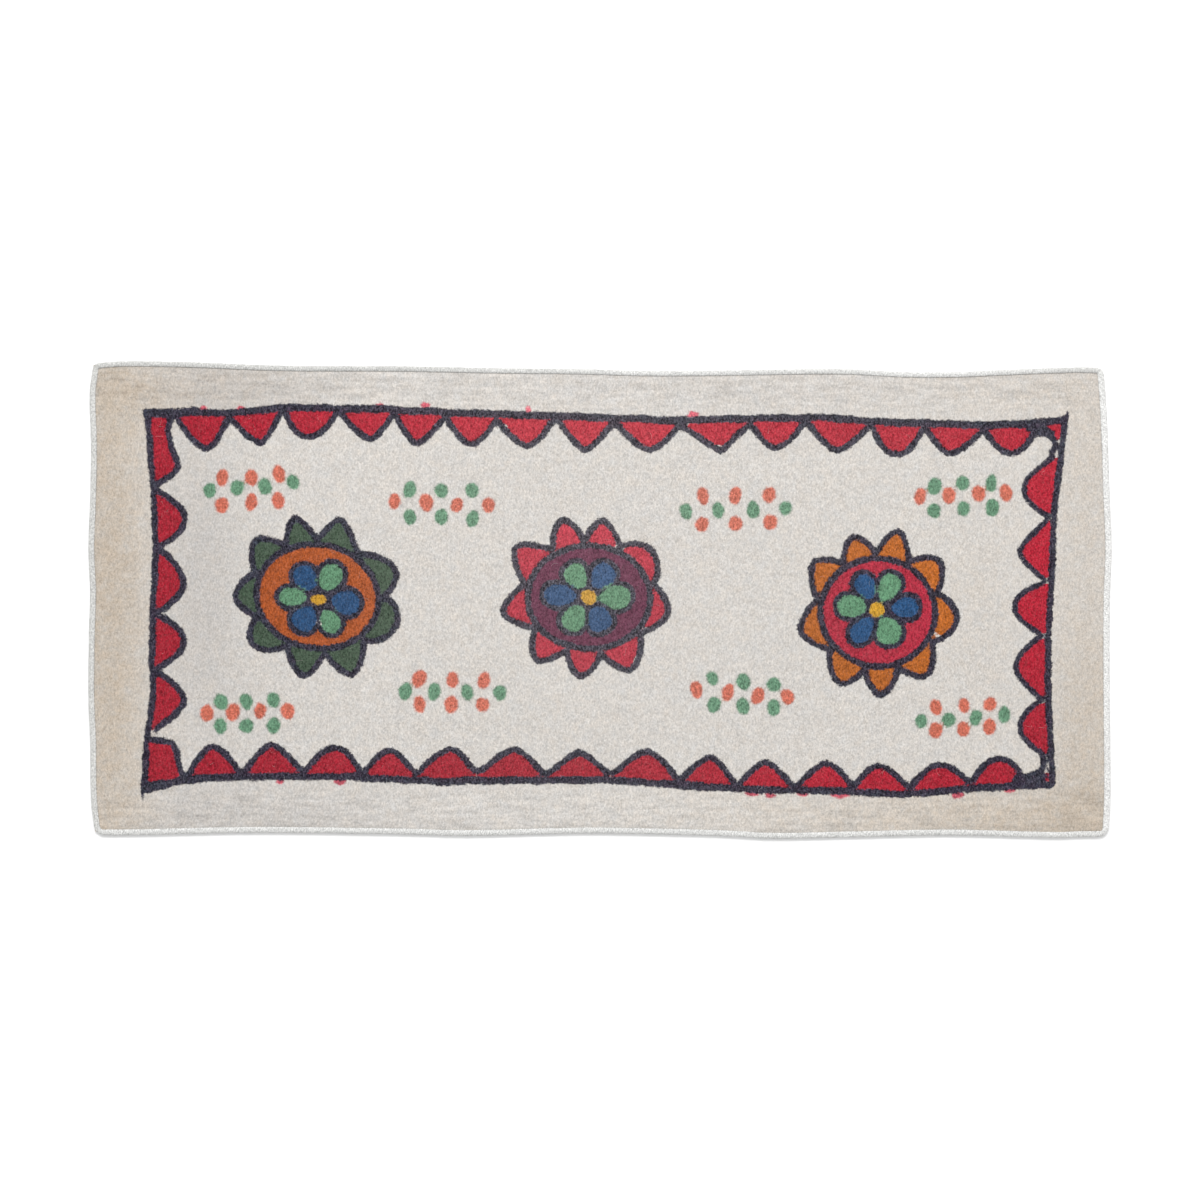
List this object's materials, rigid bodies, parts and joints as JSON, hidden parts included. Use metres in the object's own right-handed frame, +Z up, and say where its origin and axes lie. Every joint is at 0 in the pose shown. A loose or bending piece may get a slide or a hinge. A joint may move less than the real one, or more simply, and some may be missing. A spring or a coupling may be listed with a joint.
{
  "type": "namad felt rug",
  "caption": "Small rectangular namad rug of hand-felted wool with a scalloped border, three flower rosettes, dot clusters and a white yarn edge binding, lying flat.",
  "frame": {"origin": "centre of the rug's outline, on the underside that lies on the floor", "axes": "+X along the rug's length, +Y across its width towards the picture's top edge, +Z up out of the patterned face"},
  "size_m": [1.5, 0.7, 0.0068],
  "materials": {
    "felt": "matte hand-felted cream wool with dyed wool motifs",
    "binding_yarn": "matte white wool yarn, overcast stitch by stitch"
  },
  "bodies": {
    "root": {"felt": "felt", "edge_binding": "binding_yarn"}
  },
  "joints": []
}
